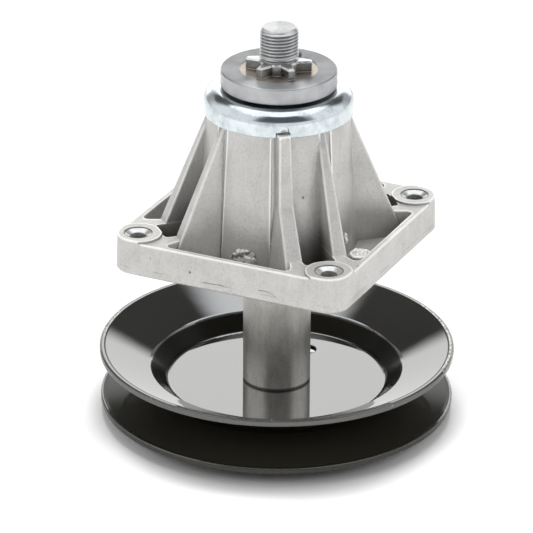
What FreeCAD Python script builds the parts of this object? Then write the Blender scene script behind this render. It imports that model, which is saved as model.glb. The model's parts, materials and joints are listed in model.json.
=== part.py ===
import FreeCAD, Part
import Sketcher
import os
import re

# Mower deck spindle, standing blade end up on its pulley nut. +Z runs along the shaft and
# the origin is on the shaft's axis at the nut's end face. Lengths are mm, angles degrees.

DRIVING = {
    # Thread and clamp stack at the pulley end
    "threadRadius": 7.9375,
    "nutHeight": 9.6,
    "nutFlats": 23.8,
    "nutChamfer": 1.1,
    "shaftSetback": 0.4,
    "washerThickness": 2.4,
    "washerRadius": 17.0,
    # Pulley, two halves stamped from sheet
    "sheetGauge": 2.0,
    "webFlatRadius": 45.8,
    "crestRadius": 53.2,
    "crestRise": 6.45,
    "rimRise": 15.85,
    "rimLand": 2.1,
    "rimEdge": 2.7,
    "upperRimRadius": 74.3,
    "lowerRimInset": 0.35,
    "weldRingRadius": 39.0,
    "grooveFootRadius": 50.0,
    "lowerRimDrop": 3.9,
    "webHoleRadius": 4.85,
    "webHoleOffset": 29.6,
    "webHoleAngle": 91.0,
    "pressRadius": 3.0,
    "rimRound": 0.6,
    # Spacers between pulley, bearings and shaft shoulder
    "pulleySpacerRadius": 14.15,
    "pulleySpacerLength": 62.0,
    "bearingSpacerRadius": 13.0,
    "bearingSpacerLength": 38.4,
    # Deep groove ball bearing, 20 x 47 x 14
    "journalRadius": 10.0,
    "bearingRadius": 23.5,
    "bearingWidth": 14.0,
    "innerShoulderRadius": 14.4,
    "outerShoulderRadius": 19.1,
    "ballRadius": 3.969,
    "ballPitchRadius": 16.75,
    "ballClearance": 0.15,
    "cageThickness": 1.7,
    "cageWidth": 9.4,
    "cageClearance": 0.13,
    "sealSeatRadius": 20.2,
    "sealThickness": 1.1,
    "sealInset": 0.2,
    "sealLipGap": 0.3,
    "raceChamfer": 0.6,
    # Shaft, blade disc and star
    "bossRadius": 13.5,
    "bossHeight": 4.55,
    "discRadius": 23.95,
    "discThickness": 6.85,
    "discChamfer": 0.45,
    "reliefRadius": 16.05,
    "reliefDepth": 0.25,
    "starHeight": 4.3,
    "starCoreRadius": 8.4,
    "starTipRadius": 13.5,
    "starTipWidth": 2.6,
    "starRootWidth": 6.3,
    "starRootRadius": 6.0,
    "starAngle": 18.0,
    "starChamfer": 0.7,
    "neckRadius": 7.0,
    "neckLength": 1.5,
    "threadLength": 12.35,
    "threadChamfer": 1.3,
    # Dust cap pressed over the blade end of the housing
    "capThickness": 1.2,
    "capSeatInset": 0.8,
    "capSkirtLength": 10.2,
    "capShoulderRadius": 6.0,
    "capHoleRadius": 15.0,
    "notchWidth": 5.6,
    "notchHeight": 2.1,
    "dentHeight": 2.5,
    "dentDepth": 0.7,
    # Cast housing: flange
    "bearingRecess": 2.2,
    "bearingInset": 2.4,
    "coreRadius": 20.6,
    "flangeHalf": 52.0,
    "flangeTopInset": 0.3,
    "flangeHeight": 14.5,
    "flangeCornerRadius": 9.0,
    "flangeFootRound": 1.3,
    "flangeFloor": 4.0,
    "rimWall": 2.25,
    "padRadius": 9.8,
    "padRise": 0.87,
    "boltEdge": 9.0,
    "boltHoleRadius": 3.35,
    "mouthRadius": 5.65,
    "mouthDepth": 0.4,
    "countersinkDepth": 1.1,
    "pocketEndHalf": 28.3,
    "pocketHeelHalf": 3.2,
    "pocketRound": 2.4,
    "pocketDraft": 2.0,
    "slotPadGap": 9.8112,
    "slotHalf": 6.3,
    "slotRound": 1.8,
    # Cast housing: barrel and ribs
    "boreWall": 5.45,
    "barrelDraft": 4.1,
    "panelAngle": 39.6,
    "cornerAngle": 30.0,
    "recessDepth": 1.0,
    "seatChamfer": 4.2,
    "ribInnerFoot": 6.8,
    "ribInnerTop": 6.9,
    "ribOuterFoot": 13.6,
    "ribOuterTop": 10.3,
    "ribReachFoot": 51.2,
    "ribReachTop": 27.3,
    "ribTopGap": 0.4,
    "ribRound": 0.6,
    # The rib of the corner at -45 degrees that carries the lug for the cap
    "lugRise": 1.4,
    "lugKneeHeight": 18.5,
    "lugReachTop": 32.2,
    "lugReachKnee": 33.5,
    "lugReachFoot": 54.2,
    "lugInnerTop": 6.2,
    "lugInnerKnee": 5.2,
    "lugInnerFoot": 6.7,
    "lugOuterTop": 11.2,
    "lugOuterKnee": 11.6,
    "lugOuterFoot": 14.6,
}

# Heights and places worked out from the driving sizes, as spreadsheet expressions
DERIVED = {
    "washerTop": "nutHeight + washerThickness",
    "lowerRimRadius": "upperRimRadius - lowerRimInset",
    "webTop": "washerTop + sheetGauge",
    "upperRimTop": "webTop + rimRise",
    "lowerRimTop": "washerTop - lowerRimDrop",
    "pulleyBearingFoot": "webTop + pulleySpacerLength",
    "pulleyBearingTop": "pulleyBearingFoot + bearingWidth",
    "bladeBearingFoot": "pulleyBearingTop + bearingSpacerLength",
    "bladeBearingTop": "bladeBearingFoot + bearingWidth",
    "discBottom": "bladeBearingTop + bossHeight",
    "discTop": "discBottom + discThickness",
    "starTop": "discTop + starHeight",
    "threadFoot": "starTop + neckLength",
    "shaftTop": "threadFoot + threadLength",
    "flangeBottom": "pulleyBearingFoot - bearingRecess",
    "flangeTop": "flangeBottom + flangeHeight",
    "padTop": "flangeTop + padRise",
    "pocketFloor": "flangeBottom + flangeFloor",
    "flangeTopHalf": "flangeHalf - flangeTopInset",
    "boltPlace": "flangeHalf - boltEdge",
    "slotReach": "boltPlace * sqrt(2) - slotPadGap",
    "housingTop": "bladeBearingTop + bearingInset",
    "capTop": "housingTop + capThickness",
    "skirtBottom": "capTop - capSkirtLength",
    "barrelTopRadius": "bearingRadius + boreWall",
    "barrelFootRadius": "barrelTopRadius + barrelDraft",
    "capInnerRadius": "barrelTopRadius + capSeatInset",
    "capRadius": "capInnerRadius + capThickness",
    "ribTop": "skirtBottom - ribTopGap",
    "lugTop": "skirtBottom + lugRise",
    "lugKnee": "flangeTop + lugKneeHeight",
}

BALL_COUNT = 8
STAR_LOBES = 6
CORNER_ANGLES = (45.0, 135.0, 225.0, 315.0)
SIDE_ANGLES = (0.0, 90.0, 180.0, 270.0)
LUG_CORNER = 315.0
OVERRUN = 5.0

doc = FreeCAD.newDocument("spindle")
sheet = doc.addObject("Spreadsheet::Sheet", "Sizes")
for row, (alias, size) in enumerate(DRIVING.items(), start=1):
    sheet.set("A%d" % row, alias)
    sheet.set("B%d" % row, str(size))
    sheet.setAlias("B%d" % row, alias)
doc.recompute()


def expand(formula):
    """Replace every size word of a formula by its spreadsheet cell."""

    def swap(match):
        word = match.group()
        if word in DRIVING:
            return "Sizes." + word
        if word in DERIVED:
            return "(" + expand(DERIVED[word]) + ")"
        return word

    return re.sub(r"[A-Za-z]+", swap, str(formula))


def bind(item, prop, formula):
    """Tie one property to the spreadsheet."""
    item.setExpression(prop, expand(formula))


def number(formula):
    """Present value of a formula, for picking edges."""
    bind(reader, "Reading", formula)
    reader.recompute()
    return reader.Reading


reader = doc.addObject("App::FeaturePython", "Reader")
reader.addProperty("App::PropertyFloat", "Reading")


def origin_feature(body, role):
    return next(item for item in body.Origin.OriginFeatures if item.Role == role)


def attach(item, body, role):
    item.AttachmentSupport = [(origin_feature(body, role), "")]
    item.MapMode = "FlatFace"


def draw_outline(sketch, points):
    """Closed outline of straight edges, each corner held by a pair of formulas."""
    ends = [(number(x), number(y)) for x, y in points]
    for index, (x, y) in enumerate(ends):
        after = ends[(index + 1) % len(ends)]
        start = FreeCAD.Vector(x, y, 0)
        sketch.addGeometry(Part.LineSegment(start, FreeCAD.Vector(after[0], after[1], 0)), False)
    for index in range(len(ends)):
        following = (index + 1) % len(ends)
        sketch.addConstraint(Sketcher.Constraint("Coincident", index, 2, following, 1))
    for index, (x, y) in enumerate(points):
        for kind, axis, formula in (("DistanceX", -2, x), ("DistanceY", -1, y)):
            size = number(formula)
            if abs(size) < 1e-9:
                sketch.addConstraint(Sketcher.Constraint("PointOnObject", index, 1, axis))
                continue
            held = sketch.addConstraint(Sketcher.Constraint(kind, -1, 1, index, 1, size))
            bind(sketch, "Constraints[%d]" % held, formula)


def revolve(body, sketch):
    """Full turn of the sketch about its upright axis."""
    turned = body.newObject("PartDesign::Revolution", body.Name + "_turned")
    turned.Profile = sketch
    turned.ReferenceAxis = (sketch, ["V_Axis"])
    turned.Angle = 360.0
    doc.recompute()
    return body


def turn(name, points):
    """Turned body: an outline of (radius, height) revolved about Z."""
    body = doc.addObject("PartDesign::Body", name)
    sketch = body.newObject("Sketcher::SketchObject", name + "_outline")
    attach(sketch, body, "XZ_Plane")
    draw_outline(sketch, points)
    return revolve(body, sketch)


def round_off(body, name, size, edges):
    """Fillet of the named edges of the body as it stands."""
    base = body.Tip
    fillet = body.newObject("PartDesign::Fillet", name)
    fillet.Base = (base, edges)
    bind(fillet, "Radius", size)
    body.Tip = fillet
    doc.recompute()


def ring_edges(shape, places):
    """Names of the circular edges that lie at the given (radius, height) places."""
    names = []
    for index, edge in enumerate(shape.Edges, start=1):
        curve = edge.Curve
        if not isinstance(curve, Part.Circle):
            continue
        for radius, height in places:
            if abs(curve.Radius - radius) < 0.01 and abs(curve.Center.z - height) < 0.01:
                names.append("Edge%d" % index)
    return names


def round_rings(body, name, size, places):
    """Fillet of the circular edges at (radius, height) formulas."""
    wanted = [(number(radius), number(height)) for radius, height in places]
    round_off(body, name, size, ring_edges(body.Tip.Shape, wanted))


def solid(kind, name, sizes, base=(0, 0, 0), turn_angle=0.0, tilt=None):
    """Part primitive with bound sizes, bound place and a turn about Z."""
    item = doc.addObject(kind, name)
    for prop, formula in sizes.items():
        bind(item, prop, formula)
    rotation = FreeCAD.Rotation(FreeCAD.Vector(0, 0, 1), turn_angle)
    if tilt:
        rotation = rotation.multiply(tilt)
    item.Placement = FreeCAD.Placement(FreeCAD.Vector(0, 0, 0), rotation)
    for axis, formula in zip("xyz", base):
        if formula != 0:
            bind(item, "Placement.Base." + axis, formula)
    return item


def cylinder(name, radius, foot, top, x=0, y=0):
    return solid("Part::Cylinder", name, {"Radius": radius, "Height": "(%s) - (%s)" % (top, foot)}, (x, y, foot))


def cone(name, foot_radius, top_radius, foot, top, angle=360.0, start=0.0, x=0, y=0):
    sizes = {"Radius1": foot_radius, "Radius2": top_radius, "Height": "(%s) - (%s)" % (top, foot), "Angle": angle}
    return solid("Part::Cone", name, sizes, (x, y, foot), start)


def fuse(name, items):
    joined = doc.addObject("Part::MultiFuse", name)
    joined.Shapes = items
    joined.Refine = True
    return joined


def cut(name, base, tool):
    left = doc.addObject("Part::Cut", name)
    left.Base = base
    left.Tool = tool
    left.Refine = True
    return left


# Upright wedge: local Y of the primitive becomes +Z, so each level is a rectangle of
# reach (along the given direction) by offset (across it, to the left)
UPRIGHT = FreeCAD.Rotation(FreeCAD.Vector(1, 0, 0), 90.0)


def wedge_sizes(foot, top, foot_box, top_box):
    """Sizes of a wedge between two levels; each box is (near, far, right, left)."""
    near, far, right, left = foot_box
    near_top, far_top, right_top, left_top = top_box
    return {
        "Ymin": "0",
        "Ymax": "(%s) - (%s)" % (top, foot),
        "Xmin": near,
        "Xmax": far,
        "Zmin": "-(%s)" % left,
        "Zmax": "-(%s)" % right,
        "X2min": near_top,
        "X2max": far_top,
        "Z2min": "-(%s)" % left_top,
        "Z2max": "-(%s)" % right_top,
    }


def upright_wedge(name, angle, foot, top, foot_box, top_box):
    sizes = wedge_sizes(foot, top, foot_box, top_box)
    return solid("Part::Wedge", name, sizes, (0, 0, foot), angle, UPRIGHT)


def rounded_wedge(name, angle, foot, top, foot_box, top_box, radius):
    """Upright wedge as a body with its four rising edges rounded."""
    body = doc.addObject("PartDesign::Body", name)
    wedge = body.newObject("PartDesign::AdditiveWedge", name + "_wedge")
    for prop, formula in wedge_sizes(foot, top, foot_box, top_box).items():
        bind(wedge, prop, formula)
    turned = FreeCAD.Rotation(FreeCAD.Vector(0, 0, 1), angle).multiply(UPRIGHT)
    body.Placement = FreeCAD.Placement(FreeCAD.Vector(0, 0, 0), turned)
    bind(body, "Placement.Base.z", foot)
    doc.recompute()
    rising = []
    for index, edge in enumerate(wedge.Shape.Edges, start=1):
        if abs(edge.Vertexes[0].Point.y - edge.Vertexes[-1].Point.y) > 1.0:
            rising.append("Edge%d" % index)
    round_off(body, name + "_rounded", radius, rising)
    return body


def drafted_block(name, angle, foot, top, outline, draft, radius, corners):
    """Upright block with draft, wider at the top, and some of its rising edges rounded."""
    body = doc.addObject("PartDesign::Body", name)
    sketch = body.newObject("Sketcher::SketchObject", name + "_outline")
    attach(sketch, body, "XY_Plane")
    bind(sketch, "AttachmentOffset.Base.z", foot)
    draw_outline(sketch, outline)
    block = body.newObject("PartDesign::Pad", name + "_block")
    block.Profile = sketch
    bind(block, "Length", "(%s) - (%s)" % (top, foot))
    bind(block, "TaperAngle", draft)
    body.Placement.Rotation = FreeCAD.Rotation(FreeCAD.Vector(0, 0, 1), angle)
    doc.recompute()
    rising = []
    level = number(foot)
    wanted = [FreeCAD.Vector(number(outline[index][0]), number(outline[index][1]), level) for index in corners]
    for index, edge in enumerate(block.Shape.Edges, start=1):
        points = [vertex.Point for vertex in edge.Vertexes]
        if abs(points[0].z - points[-1].z) < 1.0:
            continue
        if any((point - place).Length < 0.01 for point in points for place in wanted):
            rising.append("Edge%d" % index)
    round_off(body, name + "_rounded", radius, rising)
    return body


# Spindle shaft: one forging with blade disc, six-lobed star and both threads
shaft = turn("spindle_shaft", [
    ("0", "shaftSetback"),
    ("threadRadius - threadChamfer", "shaftSetback"),
    ("threadRadius", "shaftSetback + threadChamfer"),
    ("threadRadius", "webTop + shaftSetback"),
    ("journalRadius", "webTop + shaftSetback + journalRadius - threadRadius"),
    ("journalRadius", "bladeBearingTop"),
    ("bossRadius", "bladeBearingTop"),
    ("bossRadius", "discBottom"),
    ("discRadius - discChamfer", "discBottom"),
    ("discRadius", "discBottom + discChamfer"),
    ("discRadius", "discTop - discChamfer"),
    ("discRadius - discChamfer", "discTop"),
    ("reliefRadius", "discTop"),
    ("reliefRadius - reliefDepth", "discTop - reliefDepth"),
    ("starCoreRadius", "discTop - reliefDepth"),
    ("starCoreRadius", "starTop"),
    ("neckRadius", "starTop"),
    ("neckRadius", "threadFoot - threadRadius + neckRadius"),
    ("threadRadius", "threadFoot"),
    ("threadRadius", "shaftTop - threadChamfer"),
    ("threadRadius - threadChamfer", "shaftTop"),
    ("0", "shaftTop"),
])

lobe_outline = shaft.newObject("Sketcher::SketchObject", "star_lobe_outline")
attach(lobe_outline, shaft, "XY_Plane")
lobe_outline.AttachmentOffset = FreeCAD.Placement(
    FreeCAD.Vector(0, 0, 0), FreeCAD.Rotation(FreeCAD.Vector(0, 0, 1), DRIVING["starAngle"])
)
bind(lobe_outline, "AttachmentOffset.Base.z", "discTop - reliefDepth")
bind(lobe_outline, "AttachmentOffset.Rotation.Angle", "starAngle")
draw_outline(lobe_outline, [
    ("starRootRadius", "-starRootWidth / 2"),
    ("starTipRadius", "-starTipWidth / 2"),
    ("starTipRadius", "starTipWidth / 2"),
    ("starRootRadius", "starRootWidth / 2"),
])
lobe = shaft.newObject("PartDesign::Pad", "star_lobe")
lobe.Profile = lobe_outline
bind(lobe, "Length", "starHeight + reliefDepth")
doc.recompute()
star = shaft.newObject("PartDesign::PolarPattern", "star_lobes")
star.Originals = [lobe]
star.Axis = (origin_feature(shaft, "Z_Axis"), [""])
star.Angle = 360.0
star.Occurrences = STAR_LOBES
shaft.Tip = star
doc.recompute()
star_rim = []
for index, edge in enumerate(star.Shape.Edges, start=1):
    ends = [vertex.Point for vertex in edge.Vertexes]
    level = all(abs(end.z - number("starTop")) < 0.01 for end in ends)
    if level and max((end.x ** 2 + end.y ** 2) ** 0.5 for end in ends) > number("starCoreRadius") - 0.01:
        star_rim.append("Edge%d" % index)
bevel = shaft.newObject("PartDesign::Chamfer", "star_bevel")
bevel.Base = (star, star_rim)
bind(bevel, "Size", "starChamfer")
shaft.Tip = bevel
doc.recompute()

# Clamp stack under the pulley web
nut_prism = solid("Part::Prism", "nut_prism", {
    "Circumradius": "nutFlats / sqrt(3)",
    "Height": "nutHeight",
})
nut_prism.Polygon = 6
nut_form = turn("nut_form", [
    ("threadRadius", "0"),
    ("nutFlats / 2 - nutChamfer / 2", "0"),
    ("nutFlats / sqrt(3) + nutChamfer / 2", "nutChamfer"),
    ("nutFlats / sqrt(3) + nutChamfer / 2", "nutHeight - nutChamfer"),
    ("nutFlats / 2 - nutChamfer / 2", "nutHeight"),
    ("threadRadius", "nutHeight"),
])
nut = doc.addObject("Part::Common", "pulley_nut")
nut.Base = nut_prism
nut.Tool = nut_form

washer = turn("pulley_washer", [
    ("threadRadius", "nutHeight"),
    ("washerRadius - discChamfer", "nutHeight"),
    ("washerRadius", "nutHeight + discChamfer"),
    ("washerRadius", "washerTop - discChamfer"),
    ("washerRadius - discChamfer", "washerTop"),
    ("threadRadius", "washerTop"),
])

# Upper pulley half: dished web, steep step, crest, belt cone and flat rim
upper_sheet = turn("upper_half_sheet", [
    ("threadRadius", "washerTop"),
    ("webFlatRadius + sheetGauge / 2", "washerTop"),
    ("crestRadius + sheetGauge / 4", "webTop + crestRise - sheetGauge * 1.15"),
    ("upperRimRadius - rimLand", "upperRimTop - sheetGauge * 1.1"),
    ("upperRimRadius - rimLand / 2", "upperRimTop - rimEdge"),
    ("upperRimRadius", "upperRimTop - rimEdge"),
    ("upperRimRadius", "upperRimTop"),
    ("upperRimRadius - rimLand", "upperRimTop"),
    ("crestRadius", "webTop + crestRise"),
    ("webFlatRadius", "webTop"),
    ("threadRadius", "webTop"),
])
round_rings(upper_sheet, "upper_half_bends_above", "pressRadius", [
    ("crestRadius", "webTop + crestRise"),
    ("webFlatRadius", "webTop"),
])
round_rings(upper_sheet, "upper_half_bends_below", "pressRadius", [
    ("crestRadius + sheetGauge / 4", "webTop + crestRise - sheetGauge * 1.15"),
    ("webFlatRadius + sheetGauge / 2", "washerTop"),
])
round_rings(upper_sheet, "upper_half_rim_rounded", "rimRound", [
    ("upperRimRadius", "upperRimTop"),
    ("upperRimRadius", "upperRimTop - rimEdge"),
])
web_hole = cylinder(
    "web_hole", "webHoleRadius", "washerTop - %s" % OVERRUN, "webTop + %s" % OVERRUN,
    "webHoleOffset * cos(webHoleAngle * 1deg)", "webHoleOffset * sin(webHoleAngle * 1deg)",
)
upper_half = cut("pulley_upper_half", upper_sheet, web_hole)

# Lower pulley half: ring welded under the web, with the second belt cone
lower_half = turn("pulley_lower_half", [
    ("weldRingRadius", "washerTop - sheetGauge"),
    ("grooveFootRadius", "washerTop - sheetGauge"),
    ("lowerRimRadius - rimLand", "lowerRimTop - sheetGauge"),
    ("lowerRimRadius - rimLand / 2", "lowerRimTop - rimEdge"),
    ("lowerRimRadius", "lowerRimTop - rimEdge"),
    ("lowerRimRadius", "lowerRimTop"),
    ("lowerRimRadius - rimLand", "lowerRimTop"),
    ("grooveFootRadius", "washerTop"),
    ("weldRingRadius", "washerTop"),
])
round_rings(lower_half, "lower_half_rim_rounded", "rimRound", [
    ("lowerRimRadius", "lowerRimTop"),
    ("lowerRimRadius", "lowerRimTop - rimEdge"),
])

# Spacer tubes on the shaft
pulley_spacer = turn("pulley_spacer", [
    ("journalRadius", "webTop"),
    ("pulleySpacerRadius", "webTop"),
    ("pulleySpacerRadius", "pulleyBearingFoot"),
    ("journalRadius", "pulleyBearingFoot"),
])
bearing_spacer = turn("bearing_spacer", [
    ("journalRadius", "pulleyBearingTop"),
    ("bearingSpacerRadius", "pulleyBearingTop"),
    ("bearingSpacerRadius", "bladeBearingFoot"),
    ("journalRadius", "bladeBearingFoot"),
])


def track(name, middle):
    """Turned ring that the balls run in, a running clearance larger than they are."""
    body = doc.addObject("PartDesign::Body", name)
    sketch = body.newObject("Sketcher::SketchObject", name + "_outline")
    attach(sketch, body, "XZ_Plane")
    formulas = ("ballPitchRadius", middle, "ballRadius + ballClearance")
    reach, height, radius = [number(formula) for formula in formulas]
    sketch.addGeometry(Part.Circle(FreeCAD.Vector(reach, height, 0), FreeCAD.Vector(0, 0, 1), radius), False)
    held = [
        Sketcher.Constraint("DistanceX", -1, 1, 0, 3, reach),
        Sketcher.Constraint("DistanceY", -1, 1, 0, 3, height),
        Sketcher.Constraint("Radius", 0, radius),
    ]
    for constraint, formula in zip(held, formulas):
        bind(sketch, "Constraints[%d]" % sketch.addConstraint(constraint), formula)
    return revolve(body, sketch)


def ball_ring(prefix, middle):
    """Balls spaced evenly round the pitch circle."""
    balls = []
    for index in range(BALL_COUNT):
        angle = "%s * 1deg" % (360.0 / BALL_COUNT * index)
        place = ("ballPitchRadius * cos(%s)" % angle, "ballPitchRadius * sin(%s)" % angle, middle)
        balls.append(solid("Part::Sphere", "%s_%d" % (prefix, index + 1), {"Radius": "ballRadius"}, place))
    return balls


def window_ring(prefix, middle):
    """Round windows pointing outward, one for each ball."""
    lying = FreeCAD.Rotation(FreeCAD.Vector(0, 1, 0), 90.0)
    sizes = {"Radius": "ballRadius + cageClearance", "Height": "bearingRadius"}
    windows = []
    for index in range(BALL_COUNT):
        angle = 360.0 / BALL_COUNT * index
        windows.append(solid("Part::Cylinder", "%s_%d" % (prefix, index + 1), sizes, (0, 0, middle), angle, lying))
    return windows


def bearing(prefix, foot, top, outer_side_up):
    """Sealed ball bearing: races, balls, cage and two seals; returns its nodes."""
    middle = "(%s + %s) / 2" % (foot, top)
    inner_blank = turn(prefix + "_inner_blank", [
        ("journalRadius", foot),
        ("innerShoulderRadius", foot),
        ("innerShoulderRadius", top),
        ("journalRadius", top),
    ])
    seal_depth = "sealInset + sealThickness"
    outer_blank = turn(prefix + "_outer_blank", [
        ("sealSeatRadius", foot),
        ("bearingRadius - raceChamfer", foot),
        ("bearingRadius", "%s + raceChamfer" % foot),
        ("bearingRadius", "%s - raceChamfer" % top),
        ("bearingRadius - raceChamfer", top),
        ("sealSeatRadius", top),
        ("sealSeatRadius", "%s - (%s)" % (top, seal_depth)),
        ("outerShoulderRadius", "%s - (%s)" % (top, seal_depth)),
        ("outerShoulderRadius", "%s + %s" % (foot, seal_depth)),
        ("sealSeatRadius", "%s + %s" % (foot, seal_depth)),
    ])
    inner_race = cut(prefix + "_inner_race", inner_blank, track(prefix + "_inner_track", middle))
    outer_race = cut(prefix + "_outer_race", outer_blank, track(prefix + "_outer_track", middle))
    balls = doc.addObject("Part::Compound", prefix + "_balls")
    balls.Links = ball_ring(prefix + "_ball", middle)
    cage_ring = turn(prefix + "_cage_ring", [
        ("ballPitchRadius - cageThickness / 2", "%s - cageWidth / 2" % middle),
        ("ballPitchRadius + cageThickness / 2", "%s - cageWidth / 2" % middle),
        ("ballPitchRadius + cageThickness / 2", "%s + cageWidth / 2" % middle),
        ("ballPitchRadius - cageThickness / 2", "%s + cageWidth / 2" % middle),
    ])
    windows = fuse(prefix + "_cage_windows", window_ring(prefix + "_window", middle))
    cage = cut(prefix + "_cage", cage_ring, windows)
    seals = []
    sides = {"foot": "%s + sealInset" % foot, "top": "%s - sealInset - sealThickness" % top}
    names = ("outer_seal", "inner_seal") if outer_side_up else ("inner_seal", "outer_seal")
    for seal_name, start in zip(names, (sides["top"], sides["foot"])):
        seals.append(turn("%s_%s" % (prefix, seal_name), [
            ("innerShoulderRadius + sealLipGap", start),
            ("sealSeatRadius", start),
            ("sealSeatRadius", "%s + sealThickness" % start),
            ("innerShoulderRadius + sealLipGap", "%s + sealThickness" % start),
        ]))
    return [outer_race, inner_race, balls, cage] + seals


blade_bearing = bearing("blade_bearing", "bladeBearingFoot", "bladeBearingTop", True)
pulley_bearing = bearing("pulley_bearing", "pulleyBearingFoot", "pulleyBearingTop", False)

# Dust cap: drawn cup with a rounded shoulder, notched over the housing's lug
cap_cup = turn("cap_cup", [
    ("capInnerRadius", "skirtBottom"),
    ("capRadius", "skirtBottom"),
    ("capRadius", "capTop"),
    ("capHoleRadius", "capTop"),
    ("capHoleRadius", "housingTop"),
    ("capInnerRadius", "housingTop"),
])
round_rings(cap_cup, "cap_shoulder_outside", "capShoulderRadius", [("capRadius", "capTop")])
round_rings(cap_cup, "cap_shoulder_inside", "capShoulderRadius - capThickness", [("capInnerRadius", "housingTop")])
lug_middle = "(lugInnerTop + lugOuterTop) / 2"
notch = upright_wedge(
    "cap_notch", LUG_CORNER, "skirtBottom - %s" % OVERRUN, "skirtBottom + notchHeight",
    ("capRadius / 2", "capRadius + %s" % OVERRUN, "-(%s) - notchWidth / 2" % lug_middle,
     "-(%s) + notchWidth / 2" % lug_middle),
    ("capRadius / 2", "capRadius + %s" % OVERRUN, "-(%s) - notchWidth / 2" % lug_middle,
     "-(%s) + notchWidth / 2" % lug_middle),
)
dent_reach = "sqrt(capRadius ^ 2 - (%s) ^ 2)" % lug_middle
dent = upright_wedge(
    "cap_dent", LUG_CORNER, "skirtBottom", "skirtBottom + notchHeight + dentHeight",
    ("%s - dentDepth" % dent_reach, "capRadius + %s" % OVERRUN, "-(%s) - notchWidth / 2" % lug_middle,
     "-(%s) + notchWidth / 2" % lug_middle),
    ("%s" % dent_reach, "capRadius + %s" % OVERRUN, "-(%s) - notchWidth / 3" % lug_middle,
     "-(%s) + notchWidth / 3" % lug_middle),
)
dust_cap = cut("dust_cap", cap_cup, fuse("cap_cuts", [notch, dent]))

# Housing flange: drafted square with round corners and raised bolt pads
flange_block = rounded_wedge(
    "flange_block", 0.0, "flangeBottom", "padTop",
    ("-flangeHalf", "flangeHalf", "-flangeHalf", "flangeHalf"),
    ("-flangeTopHalf", "flangeTopHalf", "-flangeTopHalf", "flangeTopHalf"),
    "flangeCornerRadius",
)
foot_edges = []
for index, edge in enumerate(flange_block.Tip.Shape.Edges, start=1):
    if max(vertex.Point.y for vertex in edge.Vertexes) < 0.01:
        foot_edges.append("Edge%d" % index)
round_off(flange_block, "flange_foot_rounded", "flangeFootRound", foot_edges)
face_cutter = solid("Part::Box", "face_cutter", {
    "Length": "flangeHalf * 2 + %s" % (2 * OVERRUN),
    "Width": "flangeHalf * 2 + %s" % (2 * OVERRUN),
    "Height": "padRise + %s" % OVERRUN,
}, ("-flangeHalf - %s" % OVERRUN, "-flangeHalf - %s" % OVERRUN, "flangeTop"))

bolt_places = []
for x_sign in (-1, 1):
    for y_sign in (-1, 1):
        bolt_places.append(("%d * boltPlace" % x_sign, "%d * boltPlace" % y_sign))
pad_keepers = []
bolt_holes = []
for index, (x, y) in enumerate(bolt_places, start=1):
    pad_keepers.append(cylinder(
        "pad_keeper_%d" % index, "padRadius", "flangeTop", "padTop + %s" % (2 * OVERRUN), x, y,
    ))
    hole = turn("bolt_hole_%d" % index, [
        ("0", "flangeBottom - %s" % OVERRUN),
        ("boltHoleRadius", "flangeBottom - %s" % OVERRUN),
        ("boltHoleRadius", "padTop - mouthDepth - countersinkDepth"),
        ("mouthRadius", "padTop - mouthDepth"),
        ("mouthRadius", "padTop + %s" % OVERRUN),
        ("0", "padTop + %s" % OVERRUN),
    ])
    bind(hole, "Placement.Base.x", x)
    bind(hole, "Placement.Base.y", y)
    bolt_holes.append(hole)
face_waste = cut("face_waste", face_cutter, fuse("pad_keep", pad_keepers))
flange_faced = cut("flange_faced", flange_block, face_waste)

# Open pockets on the four sides and a slot behind each bolt pad
openings = []
above = "padTop + %s" % OVERRUN
rim_inside = "flangeTopHalf - rimWall - flangeHeight * tan(pocketDraft * 1deg)"
for index, angle in enumerate(SIDE_ANGLES, start=1):
    openings.append(drafted_block(
        "side_pocket_%d" % index, angle, "pocketFloor", above,
        [
            ("0", "-pocketHeelHalf"),
            (rim_inside, "-pocketEndHalf"),
            (rim_inside, "pocketEndHalf"),
            ("0", "pocketHeelHalf"),
        ],
        "pocketDraft", "pocketRound", (1, 2),
    ))
for index, angle in enumerate(CORNER_ANGLES, start=1):
    openings.append(drafted_block(
        "rib_slot_%d" % index, angle, "pocketFloor", above,
        [
            ("coreRadius", "-slotHalf"),
            ("slotReach", "-slotHalf"),
            ("slotReach", "slotHalf"),
            ("coreRadius", "slotHalf"),
        ],
        "pocketDraft", "slotRound", (1, 2),
    ))
flange_open = cut("flange_open", flange_faced, fuse("flange_openings", openings))

# Barrel: recessed cone with raised panels on the sides and between the rib pairs
barrel_parts = [cone(
    "barrel_core", "barrelFootRadius - recessDepth", "barrelTopRadius - recessDepth", "pocketFloor", "housingTop",
)]
for name, span, angles in (("panel", "panelAngle", SIDE_ANGLES), ("corner", "cornerAngle", CORNER_ANGLES)):
    for index, angle in enumerate(angles, start=1):
        sector = cone(
            "barrel_%s_%d" % (name, index), "barrelFootRadius", "barrelTopRadius", "pocketFloor", "housingTop",
            span,
        )
        sector.Placement.Rotation = FreeCAD.Rotation(FreeCAD.Vector(0, 0, 1), angle - DRIVING[span] / 2)
        bind(sector, "Placement.Rotation.Angle", "%s - %s / 2" % (angle, span))
        barrel_parts.append(sector)
top_waste = turn("barrel_top_waste", [
    ("barrelTopRadius - seatChamfer", "housingTop"),
    ("barrelTopRadius + %s" % OVERRUN, "housingTop"),
    ("barrelTopRadius + %s" % OVERRUN, "housingTop - seatChamfer - %s" % OVERRUN),
])
barrel = cut("barrel", fuse("barrel_whole", barrel_parts), top_waste)

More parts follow.
